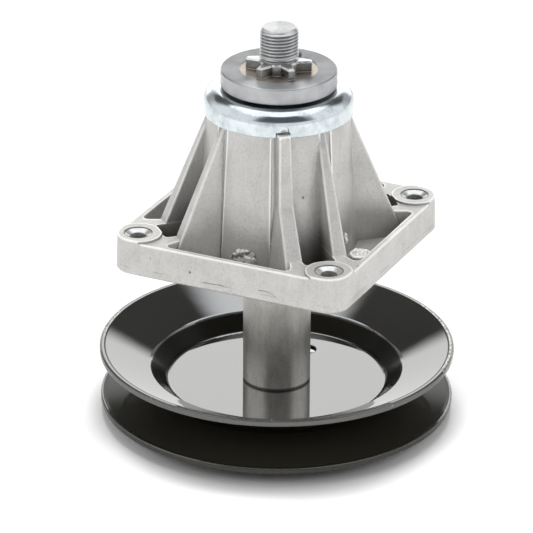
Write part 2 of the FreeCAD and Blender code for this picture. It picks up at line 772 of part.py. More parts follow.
# Ribs in pairs at the corners; one of them ends in the lug that locates the cap
ribs = []
for corner, angle in enumerate(CORNER_ANGLES, start=1):
    for side in (1, -1):
        if angle == LUG_CORNER and side == -1:
            continue
        offsets = []
        for level in ("Foot", "Top"):
            pair = ("ribInner" + level, "ribOuter" + level) if side > 0 else ("-ribOuter" + level, "-ribInner" + level)
            offsets.append(("coreRadius", "ribReach" + level) + pair)
        ribs.append(rounded_wedge(
            "rib_%d_%s" % (corner, "left" if side > 0 else "right"), angle, "pocketFloor", "ribTop",
            offsets[0], offsets[1], "ribRound",
        ))
lug_levels = {level: ("coreRadius", "lugReach" + level, "-lugOuter" + level, "-lugInner" + level)
              for level in ("Foot", "Knee", "Top")}
ribs.append(rounded_wedge(
    "lug_rib", LUG_CORNER, "pocketFloor", "lugKnee", lug_levels["Foot"], lug_levels["Knee"], "ribRound",
))
ribs.append(rounded_wedge(
    "lug_bar", LUG_CORNER, "lugKnee", "lugTop", lug_levels["Knee"], lug_levels["Top"], "ribRound",
))

bore = turn("bearing_bore", [
    ("0", "flangeBottom - %s" % OVERRUN),
    ("bearingRadius", "flangeBottom - %s" % OVERRUN),
    ("bearingRadius", "pulleyBearingTop"),
    ("coreRadius", "pulleyBearingTop"),
    ("coreRadius", "bladeBearingFoot"),
    ("bearingRadius", "bladeBearingFoot"),
    ("bearingRadius", "housingTop + %s" % OVERRUN),
    ("0", "housingTop + %s" % OVERRUN),
])
casting = fuse("housing_casting", [flange_open, barrel] + ribs)
housing = cut("spindle_housing", casting, fuse("housing_bores", [bore] + bolt_holes))
doc.recompute()

nodes = [housing, dust_cap, shaft, bearing_spacer, pulley_spacer, upper_half, lower_half, washer, nut]
nodes += blade_bearing + pulley_bearing

for item in doc.Objects:
    if "Invalid" in item.State or "Error" in item.State:
        raise RuntimeError("%s did not build: %s" % (item.Label, item.State))
os.makedirs("parts", exist_ok=True)
for node in nodes:
    if node.Shape.isNull() or not node.Shape.isValid():
        raise RuntimeError("%s has no sound shape" % node.Label)
    node.Shape.exportStep("parts/%s.step" % node.Label)
    box = node.Shape.BoundBox
    print("%-28s solids %d volume %10.1f z %7.2f to %7.2f" % (
        node.Label, len(node.Shape.Solids), node.Shape.Volume, box.ZMin, box.ZMax,
    ))
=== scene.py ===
import json
import math
import bmesh
import bpy
from mathutils import Matrix, Vector, noise


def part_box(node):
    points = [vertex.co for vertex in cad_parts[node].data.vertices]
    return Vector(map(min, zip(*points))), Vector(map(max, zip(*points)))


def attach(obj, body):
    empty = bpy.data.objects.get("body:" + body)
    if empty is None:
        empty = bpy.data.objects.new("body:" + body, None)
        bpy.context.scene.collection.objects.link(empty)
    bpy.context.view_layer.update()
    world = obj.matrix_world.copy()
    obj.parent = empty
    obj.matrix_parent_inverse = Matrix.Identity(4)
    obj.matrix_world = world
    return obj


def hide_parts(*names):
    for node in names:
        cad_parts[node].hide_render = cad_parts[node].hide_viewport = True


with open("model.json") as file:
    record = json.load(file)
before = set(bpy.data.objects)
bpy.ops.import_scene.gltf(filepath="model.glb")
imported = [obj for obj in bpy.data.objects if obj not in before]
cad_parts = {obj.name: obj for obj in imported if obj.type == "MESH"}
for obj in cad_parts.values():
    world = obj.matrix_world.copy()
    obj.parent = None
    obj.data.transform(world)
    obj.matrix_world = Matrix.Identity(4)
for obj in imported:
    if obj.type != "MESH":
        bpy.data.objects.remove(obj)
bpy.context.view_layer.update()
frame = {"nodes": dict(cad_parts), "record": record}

nodes = frame["nodes"]
mm = 0.001


# Shader sockets that take part in plain Python maths
class Value:
    def __init__(self, shade, socket):
        self.shade = shade
        self.socket = socket

    def maths(self, operation, first, second=None):
        inputs = {0: first} if second is None else {0: first, 1: second}
        return self.shade.node("ShaderNodeMath", {"operation": operation}, inputs)

    def __add__(self, other):
        return self.maths("ADD", self, other)

    def __radd__(self, other):
        return self.maths("ADD", other, self)

    def __sub__(self, other):
        return self.maths("SUBTRACT", self, other)

    def __rsub__(self, other):
        return self.maths("SUBTRACT", other, self)

    def __mul__(self, other):
        return self.maths("MULTIPLY", self, other)

    def __rmul__(self, other):
        return self.maths("MULTIPLY", other, self)

    def __truediv__(self, other):
        return self.maths("DIVIDE", self, other)

    def __rtruediv__(self, other):
        return self.maths("DIVIDE", other, self)

    def __gt__(self, other):
        return self.maths("GREATER_THAN", self, other)

    def __lt__(self, other):
        return self.maths("LESS_THAN", self, other)

    def __abs__(self):
        return self.maths("ABSOLUTE", self)

    def root(self):
        return self.maths("SQRT", self)

    def atLeast(self, other):
        return self.maths("MAXIMUM", self, other)

    def atMost(self, other):
        return self.maths("MINIMUM", self, other)

    def rise(self, low, high):
        # 0 below low, 1 above high, smooth between; falls where low is the larger
        return self.shade.node("ShaderNodeMapRange", {"interpolation_type": "SMOOTHSTEP"},
                               {"Value": self, "From Min": low, "From Max": high})


class Shade:
    # a node tree being filled: a material's or the world's
    def __init__(self, tree):
        self.tree = tree
        tree.nodes.clear()

    def node(self, kind, settings=None, inputs=None, out=0):
        made = self.tree.nodes.new(kind)
        for name, setting in (settings or {}).items():
            setattr(made, name, setting)
        for name, content in (inputs or {}).items():
            if isinstance(content, Value):
                self.tree.links.new(content.socket, made.inputs[name])
            else:
                made.inputs[name].default_value = content
        return Value(self, made.outputs[out]) if made.outputs else made

    def several(self, kind, names, inputs=None):
        # more than one output of the same node
        sockets = self.node(kind, None, inputs).socket.node.outputs
        return [Value(self, sockets[name]) for name in names]

    def place(self):
        return self.node("ShaderNodeTexCoord", out="Object")

    def split(self, vector):
        return self.several("ShaderNodeSeparateXYZ", ("X", "Y", "Z"), {0: vector})

    def rays(self):
        # 1 for what the camera sees straight on, and for what a glossy surface sees
        return self.several("ShaderNodeLightPath", ("Is Camera Ray", "Is Glossy Ray"))

    def join(self, x, y, z):
        return self.node("ShaderNodeCombineXYZ", None, {"X": x, "Y": y, "Z": z})

    def vector(self, operation, first, second=None, out="Vector"):
        inputs = {0: first} if second is None else {0: first, 1: second}
        return self.node("ShaderNodeVectorMath", {"operation": operation}, inputs, out)

    def scaled(self, vector, factors):
        return self.vector("MULTIPLY", vector, factors)

    def noise(self, vector, scale, detail=3.0, roughness=0.55):
        return self.node("ShaderNodeTexNoise", None, {
            "Vector": vector, "Scale": scale, "Detail": detail, "Roughness": roughness,
        }, out="Fac")

    def latheMarks(self, x, y, z, pitch, roughness=0.5):
        # fine rings about the axis, on faces and along sides
        return self.node("ShaderNodeTexNoise", {"noise_dimensions": "1D"}, {
            "W": (fromAxis(x, y) + z) * (1.0 / pitch), "Scale": 1.0, "Detail": 2.0, "Roughness": roughness,
        }, out="Fac")

    def blend(self, factor, first, second, mode="MIX"):
        # colours mixed by a factor, plain tuples allowed
        return self.node("ShaderNodeMix", {"data_type": "RGBA", "blend_type": mode}, {
            0: factor, 6: full(first), 7: full(second),
        }, out=2)

    def softEdges(self, radius):
        return self.node("ShaderNodeBevel", {"samples": 6}, {"Radius": radius})

    def normal(self):
        return self.node("ShaderNodeNewGeometry", out="Normal")

    def edgeHighlight(self, edges):
        # 1 on an edge that the given soft normals round off, 0 on flat ground; it places painted highlights
        # on edges
        return 1.0 - self.vector("DOT_PRODUCT", edges, self.normal(), "Value")

    def openness(self, reach, inside=False):
        # 1 in the open, falling in hollows; looked at from inside it falls on edges instead
        return self.node("ShaderNodeAmbientOcclusion", {"samples": 8, "only_local": True, "inside": inside},
                         {"Distance": reach}, out="AO")

    def spot(self, place, centre, radius):
        # 1 inside a small ball about the centre, given in mm
        away = self.vector("DISTANCE", place, tuple(number * mm for number in centre), "Value")
        return away.rise(radius * mm, 0.6 * radius * mm)

    def bump(self, height, strength, distance, under=None):
        inputs = {"Height": height, "Strength": strength, "Distance": distance}
        if under:
            inputs["Normal"] = under
        return self.node("ShaderNodeBump", None, inputs)


def full(colour):
    return colour if isinstance(colour, Value) else (*colour[:3], 1.0)


def fromAxis(x, y):
    return (x * x + y * y).root()


def outToward(x, y, azimuth):
    # how far a place lies out toward an azimuth in degrees
    turn = math.radians(azimuth)
    return x * math.cos(turn) + y * math.sin(turn)


def finish(name, build):
    # build gives the surface's inputs, or two sets of them and the factor that mixes them
    material = bpy.data.materials.new(name)
    material.use_nodes = True
    shade = Shade(material.node_tree)
    made = build(shade)
    if isinstance(made, dict):
        surface = shade.node("ShaderNodeBsdfPrincipled", None, made)
    else:
        factor, first, second = made
        surface = shade.node("ShaderNodeMixShader", None, {
            0: factor,
            1: shade.node("ShaderNodeBsdfPrincipled", None, first),
            2: shade.node("ShaderNodeBsdfPrincipled", None, second),
        })
    shade.node("ShaderNodeOutputMaterial", None, {"Surface": surface})
    return material


# Die-cast aluminium of the housing, with painted shade in its hollows and painted highlights on its edges and
# panel edges
castLook = {
    "colour": (0.55, 0.543, 0.528),
    "stain": (0.42, 0.41, 0.392),
    # painted shade: this dark brown goes into hollows and slots, where shade falls
    "hollowShade": (0.085, 0.068, 0.055),
    # painted highlight: this light colour goes onto the open edges and along the panels' edges
    "edgeHighlight": (0.93, 0.925, 0.91),
    "machined": (0.58, 0.58, 0.57),
    "line": (0.16, 0.15, 0.14),
    "mark": (0.07, 0.06, 0.05),
    "metal": 0.45,
    "roughness": 0.36,
    "edgeRadius": 0.7 * mm,
    "cloudScale": 75.0,
    "streakScale": 260.0,
    "grainScale": 1150.0,
    "rippleScale": 420.0,
    "grainHeight": 0.34 * mm,
    "edgeHighlightReach": 1.3 * mm,
    "edgeHighlightTone": 0.95,
    "hollowReach": 22.0 * mm,
    "hollowShadeTone": 0.92,
    "machinedTone": 0.9,
    "boltPlace": 43.0 * mm,
    "mouthRadius": 5.66 * mm,
    "mouthFloor": 86.5 * mm,
    "mouthLine": (5.5 * mm, 5.7 * mm, 5.9 * mm, 6.15 * mm),  # starts, is full, still full, ends
    "padRadius": 9.85 * mm,
    "padLineWidth": (0.3 * mm, 0.1 * mm),  # here and below: to each side, where it ends and where it is full
    "padFloor": 88.0 * mm,
    "flangeSide": 50.6 * mm,
    "partingHeight": 77.2 * mm,
    "partingWidth": (0.32 * mm, 0.1 * mm),
    "partingTone": 0.28,
    "barrelReach": 35.0 * mm,
    "barrelFoot": 89.0 * mm,
    "panelEdge": 0.360,  # smaller over larger of x and y
    "panelHighlightTone": 0.55,
    "pitTone": 0.65,
    "pits": ((-15.0, -52.0, 80.4, 0.7), (50.6, -31.9, 88.3, 0.7), (21.7, -22.3, 109.1, 0.6),
             (27.7, -11.2, 130.3, 0.6), (-33.0, -52.0, 83.0, 0.4), (52.0, 12.0, 80.5, 0.5),
             (52.0, 33.0, 83.5, 0.4)),  # centre and radius in mm
    "crackTone": 0.6,
    "crackWidth": (0.19 * mm, 0.05 * mm),
    "crackSide": -50.8 * mm,
    "crackWander": 1.1 * mm,
    "wanderScale": 700.0,
    "cracks": ((-9.0, 77.0, 0.5, 77.5), (15.7, 78.6, 20.3, 78.9),
               (20.0, 78.9, 23.8, 77.3)),  # x and z of one end, then of the other, in mm
}


def crackMark(x, z, wander, crack):
    # hairline on the face toward -Y, from one (x, z) point to another
    x1, z1, x2, z2 = [number * mm for number in crack]
    line = (x - x1) * ((z2 - z1) / (x2 - x1)) + z1
    near = abs(z + wander - line).rise(*castLook["crackWidth"])
    return near * (x > x1) * (x < x2) * castLook["crackTone"]


def castMarks(shade, place, clouds):
    # the mould's parting line, the hairline cracks and the pits
    x, y, z = shade.split(place)
    outside = abs(x).atLeast(abs(y)) > castLook["flangeSide"]
    parting = abs(z - castLook["partingHeight"]).rise(*castLook["partingWidth"]) * outside
    marks = parting * clouds.rise(0.42, 0.6) * castLook["partingTone"]
    wander = (shade.noise(place, castLook["wanderScale"], 2.0) - 0.5) * castLook["crackWander"]
    front = y < castLook["crackSide"]
    for crack in castLook["cracks"]:
        marks = marks.atLeast(crackMark(x, z, wander, crack) * front)
    for *centre, radius in castLook["pits"]:
        marks = marks.atLeast(shade.spot(place, centre, radius) * castLook["pitTone"])
    return marks


def boltMouths(x, y, z):
    # the machined countersinks, and the dark lines round them and round their pads
    mouth = fromAxis(abs(x) - castLook["boltPlace"], abs(y) - castLook["boltPlace"])
    above = z > castLook["mouthFloor"]
    start, firstFull, lastFull, end = castLook["mouthLine"]
    ring = mouth.rise(start, firstFull) * mouth.rise(end, lastFull) * above
    padLine = abs(mouth - castLook["padRadius"]).rise(*castLook["padLineWidth"]) * (z > castLook["padFloor"])
    return (mouth < castLook["mouthRadius"]) * above, (ring + padLine * 0.6).atMost(1.0)


def castAluminium(shade):
    place = shade.place()
    x, y, z = shade.split(place)
    clouds = shade.noise(place, castLook["cloudScale"], 4.0, 0.62)
    streaks = shade.noise(shade.scaled(place, (1.0, 1.0, 0.22)), castLook["streakScale"], 3.0, 0.6)
    grain = shade.noise(place, castLook["grainScale"], 2.0, 0.6)
    ripple = shade.noise(place, castLook["rippleScale"], 2.0, 0.5)
    edges = shade.softEdges(castLook["edgeRadius"])
    edgeHighlight = shade.openness(castLook["edgeHighlightReach"], True).rise(0.93, 0.62)
    clear = shade.openness(castLook["hollowReach"])
    machined, lines = boltMouths(x, y, z)
    marks = castMarks(shade, place, clouds)
    lean = abs(x).atMost(abs(y)) / abs(x).atLeast(abs(y))
    barrel = (fromAxis(x, y) < castLook["barrelReach"]) * (z > castLook["barrelFoot"])
    # painted highlight along the barrel panels' edges
    panelHighlight = abs(lean - castLook["panelEdge"]).rise(0.035, 0.01) * barrel
    tone = clouds.rise(0.35, 0.75) * 0.55 + streaks.rise(0.45, 0.8) * 0.35 + grain.rise(0.45, 0.7) * 0.5
    colour = shade.blend(tone, castLook["colour"], castLook["stain"])
    # painted shade in the hollows, by how open the surface is
    colour = shade.blend(clear.rise(0.40, 0.07) * castLook["hollowShadeTone"], colour, castLook["hollowShade"])
    # painted highlight on the open edges
    colour = shade.blend(edgeHighlight * clear.rise(0.22, 0.48) * castLook["edgeHighlightTone"], colour, castLook["edgeHighlight"])
    colour = shade.blend(panelHighlight * castLook["panelHighlightTone"], colour, castLook["edgeHighlight"])
    colour = shade.blend(machined * castLook["machinedTone"], colour, castLook["machined"])
    colour = shade.blend(lines, colour, castLook["line"])
    colour = shade.blend(marks, colour, castLook["mark"])
    height = (grain * 0.8 + ripple * 0.45) * (1.0 - machined) - marks * 1.5
    return {
        "Base Color": colour,
        "Metallic": castLook["metal"] + machined * 0.2,
        "Roughness": castLook["roughness"] + (clouds - 0.5) * 0.2 - machined * 0.12,
        "Normal": shade.bump(height, 0.7, castLook["grainHeight"], edges),
    }


# Torn bright metal where the gate of the casting was broken off
tornLook = {
    "colour": (0.74, 0.73, 0.71),
    "shade": (0.2, 0.18, 0.165),
    "metal": 0.7,
    "roughness": 0.25,
    "lumpScale": 380.0,
    "lumpHeight": 0.5 * mm,
}


def tornAluminium(shade):
    lumps = shade.noise(shade.place(), tornLook["lumpScale"], 2.0, 0.5)
    return {
        "Base Color": shade.blend(lumps.rise(0.5, 0.64), tornLook["colour"], tornLook["shade"]),
        "Metallic": tornLook["metal"],
        "Roughness": tornLook["roughness"] + lumps * 0.2,
        "Normal": shade.bump(lumps, 0.9, tornLook["lumpHeight"]),
    }


# Bright zinc plating of the cap, washer and nut
zincLook = {
    "colour": (0.67, 0.72, 0.738),
    "haze": (0.50, 0.55, 0.575),
    "roughness": 0.13,
    "edgeRadius": 0.3 * mm,
    "cloudScale": 190.0,
    "fineScale": 900.0,
    "waveScale": 75.0,
    "waveHeight": 0.08 * mm,
}


def zincPlate(shade):
    place = shade.place()
    clouds = shade.noise(place, zincLook["cloudScale"], 4.0, 0.65)
    fine = shade.noise(place, zincLook["fineScale"], 2.0, 0.5)
    waves = shade.noise(shade.scaled(place, (1.0, 1.0, 3.0)), zincLook["waveScale"], 2.0, 0.5)
    edges = shade.softEdges(zincLook["edgeRadius"])
    height = clouds * 0.5 + fine * 0.2 + waves * 1.6
    return {
        "Base Color": shade.blend(clouds.rise(0.38, 0.72), zincLook["colour"], zincLook["haze"]),
        "Metallic": 1.0,
        "Roughness": zincLook["roughness"] + clouds.rise(0.4, 0.8) * 0.16,
        "Normal": shade.bump(height, 0.35, zincLook["waveHeight"], edges),
    }


# Turned and machined steel of the shaft, with a painted reflection on the disc's face, painted highlights on
# its edges and painted shade in its roots
turnedLook = {
    "colour": (0.64, 0.64, 0.645),
    "tint": (0.50, 0.505, 0.51),
    "side": (0.70, 0.705, 0.715),
    # painted reflection on the disc's top face: darker over most of it, a painted sheen toward the azimuth
    # below, and painted sectors
    "top": (0.41, 0.415, 0.425),
    "paintedSheen": (1.0, 1.0, 1.0),
    "paintedSheenAzimuth": -65.0,
    "sector": (0.72, 0.73, 0.76),
    "forged": (0.62, 0.61, 0.59),
    "floorTan": (0.46, 0.38, 0.30),
    # painted shade: this dark goes into the thread's roots and the star's corners
    "root": (0.09, 0.085, 0.08),
    "edgeHighlight": (0.93, 0.93, 0.93),
    "roughness": 0.28,
    "ringPitch": 0.24 * mm,
    "ringHeight": 0.075 * mm,
    "cloudScale": 120.0,
    "sectorScale": 1.4,
    "lumpScale": 420.0,
    "lumpHeight": 0.2 * mm,
    "floorTone": 0.7,
    "forgedTone": 0.6,
    "rootShadeTone": 0.85,
    "edgeRadius": 0.30 * mm,
    "forgedRadius": 15.9 * mm,
    "starZone": (153.3 * mm, 158.3 * mm),
    "faceZone": (153.7 * mm, 154.3 * mm),  # just under and just over the disc's top
    "threadFoot": 159.8 * mm,
    "endFace": 171.8 * mm,
    "threadReach": 1.6 * mm,
    "starReach": 6.0 * mm,
}


def turnedSteel(shade):
    place = shade.place()
    x, y, z = shade.split(place)
    reach = fromAxis(x, y)
    rings = shade.latheMarks(x, y, z, turnedLook["ringPitch"], 0.6)
    clouds = shade.noise(place, turnedLook["cloudScale"], 3.0, 0.6)
    low, high = turnedLook["starZone"]
    faceUnder, faceOver = turnedLook["faceZone"]
    forged = (reach < turnedLook["forgedRadius"]) * (z > low) * (z < high)
    ground = forged * z.rise(faceOver, faceUnder)
    end = z > turnedLook["endFace"]
    threaded = (z > turnedLook["threadFoot"]) * (1.0 - end)
    edges = shade.softEdges(turnedLook["edgeRadius"])
    edgeHighlight = shade.edgeHighlight(edges).rise(0.03, 0.2)
    onTop = (z > faceUnder) * (z < faceOver)
    # painted reflection: a painted sheen on the face toward the camera's side, dark elsewhere, and painted
    # sectors on the face and the end
    paintedSheen = (outToward(x, y, turnedLook["paintedSheenAzimuth"]) / reach).rise(0.62, 0.97)
    turned = shade.join(x / reach, y / reach, reach * 40.0)
    around = shade.noise(turned, turnedLook["sectorScale"], 2.0, 0.6)
    sectors = around.rise(0.42, 0.60) * (onTop * (1.0 - paintedSheen) * 0.6 + end * 0.5)
    # painted shade in the thread's roots and between the star's lobes
    threadRootShade = shade.openness(turnedLook["threadReach"]).rise(0.9, 0.35) * threaded
    starRootShade = shade.openness(turnedLook["starReach"]).rise(0.8, 0.3) * forged
    colour = shade.blend(clouds.rise(0.35, 0.75), turnedLook["colour"], turnedLook["tint"])
    colour = shade.blend(z < faceUnder, colour, turnedLook["side"], "MULTIPLY")
    faceReflection = shade.blend(paintedSheen, turnedLook["top"], turnedLook["paintedSheen"])
    colour = shade.blend(onTop, colour, faceReflection, "MULTIPLY")
    colour = shade.blend(sectors, colour, turnedLook["sector"], "MULTIPLY")
    colour = shade.blend(ground * turnedLook["floorTone"], colour, turnedLook["floorTan"])
    colour = shade.blend(forged * (1.0 - ground) * turnedLook["forgedTone"], colour, turnedLook["forged"])
    colour = shade.blend((threadRootShade + starRootShade).atMost(1.0) * turnedLook["rootShadeTone"], colour, turnedLook["root"])
    # painted highlight on the edges, apart from the thread
    colour = shade.blend(edgeHighlight * (1.0 - threaded), colour, turnedLook["edgeHighlight"])
    lumps = shade.noise(place, turnedLook["lumpScale"], 2.0, 0.5)
    ringed = shade.bump(rings * (1.0 - forged) * (1.0 - threaded), 0.8, turnedLook["ringHeight"], edges)
    return {
        "Base Color": colour,
        "Metallic": 1.0,
        "Roughness": turnedLook["roughness"] + clouds * 0.08 - forged * (1.0 - ground) * 0.12,
        "Normal": shade.bump(lumps * forged, 0.7, turnedLook["lumpHeight"], ringed),
    }


# Drawn tube of the spacers, painted darker toward the top as painted shade
spacerLook = {
    "colour": (0.96, 0.925, 0.86),
    "tint": (0.60, 0.565, 0.51),
    # painted shade: the tube is painted darker from the first height up to the second
    "upperShade": (34.0 * mm, 72.0 * mm),  # darkens from here to there
    "upperShadeTone": (0.60, 0.61, 0.63),
    "footLine": (14.5 * mm, 15.3 * mm),
    "footColour": (0.03, 0.03, 0.03),
    "footTone": 0.85,
    "metal": 0.9,
    "roughness": 0.30,
    "drawnScale": 1300.0,
    "grainScale": 1500.0,
    "cloudScale": 170.0,
    "streakScale": 700.0,
    "grainHeight": 0.03 * mm,
}


def spacerSteel(shade):
    place = shade.place()
    z = shade.split(place)[2]
    footLow, footHigh = spacerLook["footLine"]
    foot = z.rise(footHigh, footLow)
    drawn = shade.noise(shade.scaled(place, (1.0, 1.0, 0.12)), spacerLook["drawnScale"], 3.0, 0.6)
    grain = shade.noise(place, spacerLook["grainScale"], 2.0, 0.6)
    clouds = shade.noise(shade.scaled(place, (1.0, 1.0, 0.5)), spacerLook["cloudScale"], 4.0, 0.6)
    streaks = shade.noise(shade.scaled(place, (1.0, 1.0, 0.06)), spacerLook["streakScale"], 3.0, 0.65)
    tone = clouds.rise(0.35, 0.75) * 0.5 + grain.rise(0.5, 0.7) * 0.45 + streaks.rise(0.38, 0.68) * 0.2
    colour = shade.blend(tone.atMost(1.0), spacerLook["colour"], spacerLook["tint"])
    # painted shade toward the top
    colour = shade.blend(z.rise(*spacerLook["upperShade"]), colour, spacerLook["upperShadeTone"], "MULTIPLY")
    return {
        "Base Color": shade.blend(foot * spacerLook["footTone"], colour, spacerLook["footColour"]),
        "Metallic": spacerLook["metal"],
        "Roughness": spacerLook["roughness"] + clouds * 0.06,
        "Normal": shade.bump(drawn + grain * 0.6, 0.7, spacerLook["grainHeight"]),
    }


# Gloss black paint of the stamped pulley, chipped on two stretches of its upper rim, with painted shade in
# its step, groove, rim bands and rim line
paintLook = {
    "colour": (0.011, 0.0105, 0.008),
    "bare": (0.80, 0.79, 0.77),
    "pit": (0.02, 0.018, 0.016),
    "roughness": 0.04,
    "gloss": 3.0,  # index of refraction
    "waveScale": 60.0,
    "waveHeight": 0.25 * mm,
    "crumbScale": 620.0,
    "fleckScale": 1300.0,
    "chipEdge": (0.66, 0.72),
    "edgeRadius": 0.6 * mm,
    "rightAzimuth": 25.0,
    "behindAzimuth": 115.0,
    # where each stretch starts and is full, toward the right and the back, and how much more is gone
    "chipZones": ((58.0 * mm, 64.0 * mm, -32.0 * mm, -20.0 * mm, 0.30),
                  (-62.0 * mm, -67.0 * mm, -6.0 * mm, 4.0 * mm, 0.16)),
    "wholeRim": (50.0 * mm, 62.0 * mm),  # behind here no paint is chipped
    "wholeShare": 0.3,
    "rimRadius": 72.0 * mm,
    "upperRim": 25.0 * mm,
    "stepRadii": (45.9 * mm, 52.6 * mm),
    "stepTop": 20.6 * mm,
    "coneRadii": (53.0 * mm, 72.2 * mm),
    "flatten": 0.75,
    "webTop": 14.05 * mm,
    "lowerHalf": 12.02 * mm,
    # painted shade below: darker, little-mirroring paint in the step, the groove, the rim bands and a shadow
    # line in the upper rim
    "grooveReach": 73.0 * mm,
    "grooveShade": 0.9,
    "lowerLine": 7.7 * mm,
    "rimBand": (73.0 * mm, 73.6 * mm),
    "rimBandShade": 0.58,
    "rimShadowLine": 72.15 * mm,
    "rimShadowLineWidth": (0.45 * mm, 0.2 * mm),  # to each side, where it ends and where it is full
    # the painted-shade layer: its colours, roughness and gloss
    "paintShadeColour": (0.024, 0.0228, 0.0175),
    "stepShadeColour": (0.010, 0.0095, 0.0072),
    "shadeLayerRoughness": 0.14,
    "shadeLayerGloss": 1.18,
}


def rimChips(shade, place, rim):
    # 1 where the rim's paint is gone, most of all on the two stretches
    x, y = shade.split(place)[:2]
    right = outToward(x, y, paintLook["rightAzimuth"])
    behind = outToward(x, y, paintLook["behindAzimuth"])
    crumbs = shade.noise(place, paintLook["crumbScale"], 3.0, 0.65)
    for rightStart, rightFull, behindStart, behindFull, share in paintLook["chipZones"]:
        crumbs = crumbs + right.rise(rightStart, rightFull) * behind.rise(behindStart, behindFull) * share
    crumbs = crumbs - behind.rise(*paintLook["wholeRim"]) * paintLook["wholeShare"]
    return rim * crumbs.rise(*paintLook["chipEdge"])


def paintShadeZones(reach, z, upward):
    # painted shade: the step round the web alone, and all zones of darker, little-mirroring paint: step,
    # groove, rim bands and the upper rim's shadow line
    stepFoot, stepHead = paintLook["stepRadii"]
    step = reach.rise(stepFoot - 0.3 * mm, stepFoot) * reach.rise(stepHead + 0.3 * mm, stepHead - 0.5 * mm)
    step = step * (z < paintLook["stepTop"]) * (z > paintLook["webTop"])
    groove = (z < paintLook["lowerHalf"]).atLeast(upward < -0.1) * (reach < paintLook["grooveReach"])
    lowerEdge = (z < paintLook["lowerLine"]) * paintLook["grooveShade"]
    rimBand = reach.rise(*paintLook["rimBand"]) * lowerEdge.atLeast(paintLook["rimBandShade"])
    onRim = (z > paintLook["upperRim"]) * (upward > 0.3)
    rimShadowLine = abs(reach - paintLook["rimShadowLine"]).rise(*paintLook["rimShadowLineWidth"]) * onRim
    return step, step.atLeast(groove * paintLook["grooveShade"]).atLeast(rimBand).atLeast(rimShadowLine)


def blackPaint(shade):
    place = shade.place()
    x, y, z = shade.split(place)
    reach = fromAxis(x, y)
    flecks = shade.noise(place, paintLook["fleckScale"], 2.0, 0.6)
    waves = shade.noise(place, paintLook["waveScale"], 2.0, 0.5)
    chips = rimChips(shade, place, (reach > paintLook["rimRadius"]) * (z > paintLook["upperRim"]))
    bare = shade.blend(flecks.rise(0.52, 0.6), paintLook["bare"], paintLook["pit"])
    edges = shade.softEdges(paintLook["edgeRadius"])
    upward = shade.split(shade.normal())[2]
    coneFoot, coneHead = paintLook["coneRadii"]
    cone = reach.rise(coneFoot, coneFoot + 0.8 * mm) * (reach < coneHead)
    lift = cone * (z > paintLook["webTop"]) * (upward > 0.3) * paintLook["flatten"]
    flatter = shade.vector("NORMALIZE", shade.vector("ADD", edges, shade.join(0.0, 0.0, lift)))
    step, paintShade = paintShadeZones(reach, z, upward)
    # the second surface is painted shade
    return paintShade, {
        "Base Color": shade.blend(chips, paintLook["colour"], bare),
        "Metallic": chips * 0.8,
        "Roughness": paintLook["roughness"] + chips * 0.35,
        "IOR": paintLook["gloss"],
        "Normal": shade.bump(waves + chips * -0.4, 0.10, paintLook["waveHeight"], flatter),
    }, {
        "Base Color": shade.blend(step, paintLook["paintShadeColour"], paintLook["stepShadeColour"]),
        "Roughness": paintLook["shadeLayerRoughness"] + waves * 0.05,
        "IOR": paintLook["shadeLayerGloss"],
        "Normal": shade.bump(waves, 0.10, paintLook["waveHeight"], edges),
    }


# Ground steel of the races
bearingLook = {
    "colour": (0.63, 0.63, 0.62),
    "haze": (0.55, 0.54, 0.52),
    "roughness": 0.2,
    "cloudScale": 150.0,
    "ringPitch": 0.2 * mm,
    "ringHeight": 0.006 * mm,
}


def bearingSteel(shade):
    place = shade.place()
    rings = shade.latheMarks(*shade.split(place), bearingLook["ringPitch"])
    clouds = shade.noise(place, bearingLook["cloudScale"], 3.0)
    return {
        "Base Color": shade.blend(clouds.rise(0.4, 0.7), bearingLook["colour"], bearingLook["haze"]),
        "Metallic": 1.0,
        "Roughness": bearingLook["roughness"] + clouds * 0.08,
        "Normal": shade.bump(rings, 0.4, bearingLook["ringHeight"]),
    }


# Polished steel of the balls
ballLook = {
    "colour": (0.82, 0.82, 0.83),
    "haze": (0.7, 0.7, 0.7),
    "hazeScale": 400.0,
    "roughness": 0.05,
}


def ballSteel(shade):
    haze = shade.noise(shade.place(), ballLook["hazeScale"], 3.0)
    return {
        "Base Color": shade.blend(haze.rise(0.4, 0.8), ballLook["colour"], ballLook["haze"]),
        "Metallic": 1.0,
        "Roughness": ballLook["roughness"] + haze * 0.05,
    }


# Pressed sheet of the cages
cageLook = {
    "colour": (0.56, 0.53, 0.47),
    "haze": (0.42, 0.4, 0.36),
    "hazeScale": 260.0,
    "roughness": 0.33,
    "edgeRadius": 0.25 * mm,
    "grainHeight": 0.03 * mm,
}


def cageSteel(shade):
    haze = shade.noise(shade.place(), cageLook["hazeScale"], 4.0)
    edges = shade.softEdges(cageLook["edgeRadius"])
    return {
        "Base Color": shade.blend(haze.rise(0.35, 0.75), cageLook["colour"], cageLook["haze"]),
        "Metallic": 1.0,
        "Roughness": cageLook["roughness"] + haze * 0.12,
        "Normal": shade.bump(haze, 0.3, cageLook["grainHeight"], edges),
    }


# Moulded rubber of the seals
sealLook = {
    "colour": (0.018, 0.018, 0.018),
    "dust": (0.045, 0.043, 0.04),
    "dustScale": 600.0,
    "roughness": 0.6,
    "edgeRadius": 0.2 * mm,
    "grainHeight": 0.03 * mm,
}


def sealRubber(shade):
    dust = shade.noise(shade.place(), sealLook["dustScale"], 3.0)
    edges = shade.softEdges(sealLook["edgeRadius"])
    return {
        "Base Color": shade.blend(dust.rise(0.5, 0.8), sealLook["colour"], sealLook["dust"]),
        "Roughness": sealLook["roughness"] + dust * 0.15,
        "Normal": shade.bump(dust, 0.3, sealLook["grainHeight"], edges),
    }


